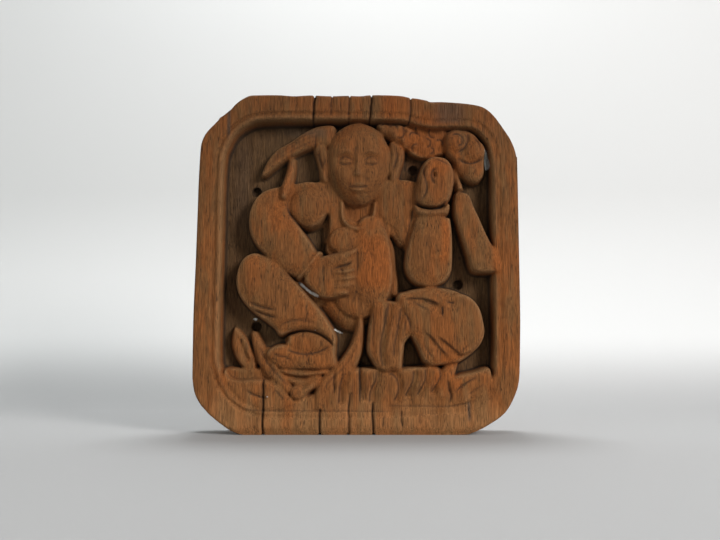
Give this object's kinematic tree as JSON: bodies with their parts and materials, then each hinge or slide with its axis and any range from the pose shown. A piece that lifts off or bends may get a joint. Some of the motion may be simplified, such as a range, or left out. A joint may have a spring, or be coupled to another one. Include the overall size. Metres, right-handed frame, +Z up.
{
  "type": "carved wall panel",
  "caption": "Thick weathered wooden panel with rounded corners: a raised border round a sunk ground, a seated figure in high relief over leaves, four nail holes.",
  "frame": {"origin": "middle of the flat back, which lies against the wall, halfway across the panel's width and height", "axes": "+X to the right as seen from in front, +Y out of the back towards the wall, +Z up; the carving faces -Y"},
  "size_m": [0.243, 0.0455, 0.2553],
  "materials": {
    "aged_wood": "bare weathered wood with the grain upright, dull, darker in the hollows, paler on worn edges"
  },
  "bodies": {
    "root": {"carved_panel": "aged_wood"}
  },
  "joints": []
}
